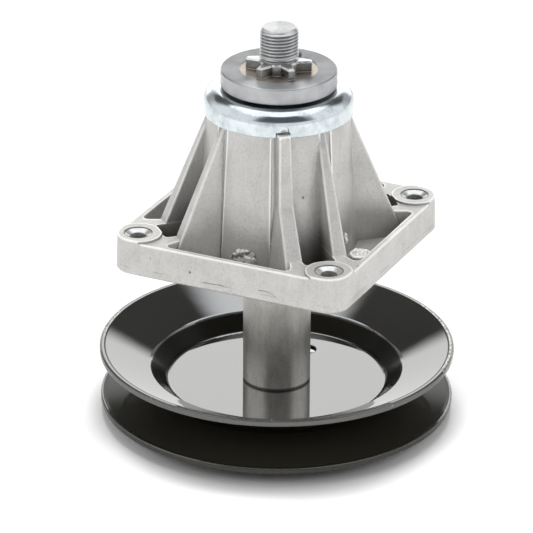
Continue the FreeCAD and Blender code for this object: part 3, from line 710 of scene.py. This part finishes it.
finishes = {
    "cast_aluminium": finish("castAluminium", castAluminium),
    "zinc_plate": finish("zincPlate", zincPlate),
    "turned_steel": finish("turnedSteel", turnedSteel),
    "spacer_steel": finish("spacerSteel", spacerSteel),
    "black_paint": finish("blackPaint", blackPaint),
    "bearing_steel": finish("bearingSteel", bearingSteel),
    "ball_steel": finish("ballSteel", ballSteel),
    "cage_steel": finish("cageSteel", cageSteel),
    "seal_rubber": finish("sealRubber", sealRubber),
}
for row in frame["record"]["subparts"]:
    mesh = nodes[row["node"]].data
    mesh.materials.clear()
    mesh.materials.append(finishes[row["material_slot"]])
print("finishes are on", len(nodes), "nodes")


def meshFrom(name, work):
    mesh = bpy.data.meshes.new(name)
    work.to_mesh(mesh)
    work.free()
    return mesh


def joinRows(work, rows):
    # a band of faces between each closed ring of points and the next
    for under, over in zip(rows, rows[1:]):
        for step in range(len(under)):
            after = (step + 1) % len(under)
            work.faces.new((under[step], under[after], over[after], over[step]))


def putPiece(name, mesh, slotName, body, *replaced, material=None):
    # a piece of the scene's own, which may stand in for nodes of the frame
    piece = bpy.data.objects.new(name, mesh)
    bpy.context.scene.collection.objects.link(piece)
    mesh.materials.clear()
    mesh.materials.append(material or finishes[slotName])
    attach(piece, body)
    if replaced:
        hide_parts(*replaced)


# Shaft with its fine thread cut at the blade end
threadCut = {
    "pitch": 25.4 / 18 * mm,
    "depth": 0.80 * mm,
    "length": 12.35 * mm,
    "outside": 7.9375 * mm,
    "chamfer": 1.3 * mm,
    "flatShare": 0.14,
    "runOutTurns": 0.9,
    "aroundSteps": 72,
    "stepsPerTurn": 14,
    "sharpAngle": 28.0,
}


def threadRadius(height, angle, top, foot):
    # radius of the thread surface, fading out at its foot and in the end chamfer
    turn = (height / threadCut["pitch"] - angle / math.tau) % 1.0
    groove = max(0.0, 1.0 - abs(turn - 0.5) / (0.5 - threadCut["flatShare"] / 2))
    runOut = min(1.0, max(0.0, (height - foot) / (threadCut["runOutTurns"] * threadCut["pitch"])))
    radius = threadCut["outside"] - threadCut["depth"] * groove * runOut
    bevelled = threadCut["outside"] - max(0.0, height - (top - threadCut["chamfer"]))
    return min(radius, bevelled)


def threadRow(work, height, top, foot):
    row = []
    for step in range(threadCut["aroundSteps"]):
        angle = math.tau * step / threadCut["aroundSteps"]
        radius = threadRadius(height, angle, top, foot)
        row.append(work.verts.new((radius * math.cos(angle), radius * math.sin(angle), height)))
    return row


def threadedShaft():
    mesh = nodes["spindle_shaft"].data.copy()
    mesh.name = "threadedShaft"
    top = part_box("spindle_shaft")[1][2]
    foot = top - threadCut["length"]
    work = bmesh.new()
    work.from_mesh(mesh)
    bmesh.ops.remove_doubles(work, verts=work.verts, dist=0.002 * mm)
    doomed = [face for face in work.faces if min(v.co.z for v in face.verts) > foot - 0.05 * mm]
    bmesh.ops.delete(work, geom=doomed, context="FACES")
    levels = int((top - foot) / threadCut["pitch"] * threadCut["stepsPerTurn"])
    heights = [foot + (top - foot) * level / levels for level in range(levels + 1)]
    rows = [threadRow(work, height, top, foot) for height in heights]
    joinRows(work, rows)
    work.faces.new(rows[-1])
    bmesh.ops.recalc_face_normals(work, faces=work.faces)
    work.to_mesh(mesh)
    work.free()
    if "custom_normal" in mesh.attributes:
        mesh.attributes.remove(mesh.attributes["custom_normal"])
    mesh.shade_smooth()
    mesh.set_sharp_from_angle(angle=math.radians(threadCut["sharpAngle"]))
    putPiece("threaded_shaft", mesh, "turned_steel", "rotor", "spindle_shaft")


threadedShaft()
print("thread is cut")


# What the gates of the die left on the housing: a torn lump, a rough round pad and a bead, in mm
gateMarks = {
    "tornCentre": (0.4, -33.1, 82.9),
    "tornSize": (4.6, 2.1, 2.9),
    "tornSwell": 0.42,
    "beadCentre": (38.0, -17.4, 92.0),
    "beadSize": (1.5, 1.5, 2.7),
    "beadSwell": 0.35,
    "padCentre": (45.6, -18.2),
    "padRadius": 4.6,
    "padHeights": (79.0, 88.15),
    "padDip": 0.45,
    "padMiddleDip": 0.3,
    "padRoughness": 0.8,
    "padGroove": (0.66, 0.07, 0.55),  # at which share of the radius, its width as a share, its depth
    "padEdge": (0.9, 0.5),  # from which share of the radius outward, its depth
    "padRings": 22,
    "padSteps": 64,
}


def tornLump(name, centre, size, strength):
    work = bmesh.new()
    bmesh.ops.create_icosphere(work, subdivisions=4, radius=1.0)
    for vertex in work.verts:
        way = vertex.co.copy()
        swell = 1.0 + strength * (noise.noise(way * 1.5 + Vector(centre)) + 0.4 * noise.noise(way * 3.7))
        vertex.co = Vector(tuple((way[axis] * size[axis] * swell + centre[axis]) * mm for axis in range(3)))
    putPiece(name, meshFrom(name, work), "cast_aluminium", "housing", material=tornFinish)


def padPoint(reach, angle, height):
    centreX, centreY = gateMarks["padCentre"]
    return Vector((centreX + reach * math.cos(angle), centreY + reach * math.sin(angle), height)) * mm


def padHeight(share, spot):
    # rough face with a groove round it, falling a little at its edge
    high = gateMarks["padHeights"][1]
    grooveShare, grooveWidth, grooveDepth = gateMarks["padGroove"]
    edgeShare, edgeDepth = gateMarks["padEdge"]
    rough = 0.5 * noise.noise(spot * 5.0) + 0.25 * noise.noise(spot * 13.0)
    groove = -grooveDepth * math.exp(-((share - grooveShare) / grooveWidth) ** 2)
    edge = -edgeDepth * max(0.0, share - edgeShare) / (1.0 - edgeShare)
    return min(high, high - gateMarks["padDip"] + rough * gateMarks["padRoughness"] + groove + edge)


def gatePad():
    low, high = gateMarks["padHeights"]
    radius = gateMarks["padRadius"]
    rings = gateMarks["padRings"]
    around = gateMarks["padSteps"]
    turns = [math.tau * step / around for step in range(around)]
    work = bmesh.new()
    rows = [[work.verts.new(padPoint(radius, angle, low)) for angle in turns]]
    for ring in range(rings):
        share = 1.0 - ring / rings
        row = []
        for angle in turns:
            spot = Vector((math.cos(angle), math.sin(angle), 0.0)) * share
            wobble = 1.0 + 0.05 * noise.noise(spot * 2.0 + Vector((3, 1, 0)))
            row.append(work.verts.new(padPoint(radius * share * wobble, angle, padHeight(share, spot))))
        rows.append(row)
    joinRows(work, rows)
    middle = work.verts.new(padPoint(0.0, 0.0, high - gateMarks["padMiddleDip"]))
    for step in range(around):
        work.faces.new((rows[-1][step], rows[-1][(step + 1) % around], middle))
    putPiece("gate_pad", meshFrom("gatePad", work), "cast_aluminium", "housing")


tornFinish = finish("tornAluminium", tornAluminium)
tornLump("gate_remnant", gateMarks["tornCentre"], gateMarks["tornSize"], gateMarks["tornSwell"])
tornLump("gate_bead", gateMarks["beadCentre"], gateMarks["beadSize"], gateMarks["beadSwell"])
gatePad()
print("gate marks are on the housing")


# Floor, world and lamps of the studio, with a painted shadow and a painted spot of light on the floor
studio = {
    "floorHalf": 6.0,
    "floorColour": (0.92, 0.92, 0.92),
    "shownColour": (0.90, 0.90, 0.90),  # the floor as the camera sees it
    # painted shadow on the floor in front of the pulley, seen only by the camera
    "paintedShadowColour": (0.57, 0.57, 0.57),
    "paintedShadowReach": (91.0 * mm, 77.0 * mm),
    "paintedShadowFront": (0.5, 1.0),
    "farReach": (0.4, 1.8),
    "farGlow": 0.42,
    # painted light: a spot that glows for the camera alone, on the floor under the pulley, shows white
    # through the web's hole
    "holeSpot": (-10.8, 58.7, 0.0),  # seen through the web's hole, in mm
    "holeRadius": 6.0,
    "holeGlow": 0.9,
    "viewAzimuth": -64.97,
    "frontAzimuth": -57.0,
    "worldLevel": 0.50,
    "open": (0.98, 1.0, 1.02),
    "overhead": (1.46, 1.50, 1.55),
    "highBack": (1.90, 1.95, 2.0),
    "backCard": (1.95, 1.95, 1.93),
    "lowBack": (0.42, 0.43, 0.44),
    "darkBack": (0.09, 0.09, 0.09),
    "darkFront": (0.11, 0.12, 0.13),
    # from none to full: Turn is a cosine of the turn from an azimuth, Foot and Top are sines of the elevation
    "backTurn": (-0.38, -0.74),
    "backTop": (0.79, 0.73),
    "lowBackTop": (0.42, 0.50),
    "cardTurn": (-0.80, -0.90),
    "cardTop": (0.55, 0.44),  # lower toward the card's sides
    "frontTurn": (0.58, 0.80),
    "frontFoot": (0.26, 0.36),
    "frontTop": (0.95, 0.91),
    "highTurn": (-0.45, -0.60),
    "highFoot": (0.73, 0.80),
    "highTop": (0.96, 0.90),
    "overheadFoot": (0.78, 0.88),
    "lampTarget": (0, 0, 0.07),
    "lampDistance": 1.5,
    "lamps": (("overheadLamp", 115.0, 84.0, 0.6, 17.0),  # azimuth, elevation, side, watts
              ("leftLamp", -120.0, 30.0, 0.8, 6.1),
              ("rightLamp", -15.0, 32.0, 0.8, 6.0)),
}


def floorPaper():
    material = bpy.data.materials.new("floorPaper")
    material.use_nodes = True
    shade = Shade(material.node_tree)
    seen, mirrored = shade.rays()
    place = shade.place()
    x, y = shade.split(place)[:2]
    reach = fromAxis(x, y)
    far = reach.rise(*studio["farReach"])
    # painted shadow: a darker ring the camera sees in front of the pulley
    front = (outToward(x, y, studio["viewAzimuth"]) / reach).rise(*studio["paintedShadowFront"])
    paintedShadow = reach.rise(*studio["paintedShadowReach"]) * front
    shown = shade.blend(paintedShadow, studio["shownColour"], studio["paintedShadowColour"])
    tone = shade.blend(seen, studio["floorColour"], shown)
    paper = shade.node("ShaderNodeBsdfDiffuse", None, {"Color": tone})
    # painted light under the web's hole
    hole = shade.spot(place, studio["holeSpot"], studio["holeRadius"])
    light = seen * hole * studio["holeGlow"] + mirrored * far * studio["farGlow"]
    glow = shade.node("ShaderNodeEmission", None, {"Color": (1, 1, 1, 1), "Strength": light})
    both = shade.node("ShaderNodeAddShader", None, {0: paper, 1: glow})
    shade.node("ShaderNodeOutputMaterial", None, {"Surface": both})
    return material


def layFloor():
    half = studio["floorHalf"]
    corners = [(-half, -half, 0), (half, -half, 0), (half, half, 0), (-half, half, 0)]
    mesh = bpy.data.meshes.new("floor")
    mesh.from_pydata(corners, [], [(0, 1, 2, 3)])
    mesh.materials.append(floorPaper())
    floor = bpy.data.objects.new("floor", mesh)
    bpy.context.scene.collection.objects.link(floor)


def makeWorld():
    # bright and dark cards that only reflections show, placed by height and by the turn from an azimuth
    world = bpy.data.worlds.new("studioRoom")
    bpy.context.scene.world = world
    world.use_nodes = True
    shade = Shade(world.node_tree)
    seen, mirrored = shade.rays()
    x, y, z = shade.split(shade.node("ShaderNodeTexCoord", out="Generated"))
    flat = (1.0 - z * z).atLeast(0.0001).root()
    facing = outToward(x, y, studio["viewAzimuth"]) / flat
    ahead = outToward(x, y, studio["frontAzimuth"]) / flat
    back = facing.rise(*studio["backTurn"]) * z.rise(*studio["backTop"])
    card = facing.rise(*studio["cardTurn"]) * (z + (facing + 1.0) * 2.0).rise(*studio["cardTop"])
    front = ahead.rise(*studio["frontTurn"]) * z.rise(*studio["frontFoot"]) * z.rise(*studio["frontTop"])
    high = facing.rise(*studio["highTurn"]) * z.rise(*studio["highFoot"]) * z.rise(*studio["highTop"])
    behind = shade.blend(z.rise(*studio["lowBackTop"]), studio["lowBack"], studio["darkBack"])
    colour = shade.blend(z.rise(*studio["overheadFoot"]), studio["open"], studio["overhead"])
    colour = shade.blend(back, colour, behind)
    colour = shade.blend(high, colour, studio["highBack"])
    colour = shade.blend(front, colour, studio["darkFront"])
    colour = shade.blend(card, colour, studio["backCard"])
    colour = shade.blend(mirrored, (studio["worldLevel"],) * 3, colour)
    colour = shade.blend(seen, colour, (1.0, 1.0, 1.0))
    background = shade.node("ShaderNodeBackground", None, {"Color": colour, "Strength": 1.0})
    shade.node("ShaderNodeOutputWorld", None, {"Surface": background})


def hangLamp(name, azimuth, elevation, side, watts):
    data = bpy.data.lights.new(name, "AREA")
    data.shape = "RECTANGLE"
    data.size = data.size_y = side
    data.energy = watts
    lamp = bpy.data.objects.new(name, data)
    a, e = math.radians(azimuth), math.radians(elevation)
    toward = Vector((math.cos(a) * math.cos(e), math.sin(a) * math.cos(e), math.sin(e)))
    lamp.location = Vector(studio["lampTarget"]) + toward * studio["lampDistance"]
    lamp.rotation_euler = (-toward).to_track_quat("-Z", "Y").to_euler()
    lamp.visible_glossy = False
    lamp.visible_camera = False
    bpy.context.scene.collection.objects.link(lamp)


layFloor()
makeWorld()
for lampRow in studio["lamps"]:
    hangLamp(*lampRow)
print("studio is lit")


# Camera at the photograph's angle
view = {
    "place": (695.8 * mm, -1490.1 * mm, 813.3 * mm),
    "turn": 25.188,  # turn, tilt and roll in degrees
    "tilt": 65.529,
    "roll": 0.400,
    "lens": 293.03,  # lens and sensor width in mm
    "sensor": 36.0,
    "clip": (0.05, 40.0),
}


def setCamera():
    data = bpy.data.cameras.new("camera")
    data.lens = view["lens"]
    data.sensor_width = view["sensor"]
    data.clip_start, data.clip_end = view["clip"]
    camera = bpy.data.objects.new("camera", data)
    bpy.context.scene.collection.objects.link(camera)
    spin = Matrix.Rotation(math.radians(view["turn"]), 4, "Z")
    nod = Matrix.Rotation(math.radians(view["tilt"]), 4, "X")
    lean = Matrix.Rotation(math.radians(view["roll"]), 4, "Z")
    camera.matrix_world = Matrix.Translation(view["place"]) @ spin @ nod @ lean
    bpy.context.scene.camera = camera


setCamera()
bpy.context.scene.view_settings.view_transform = "Standard"
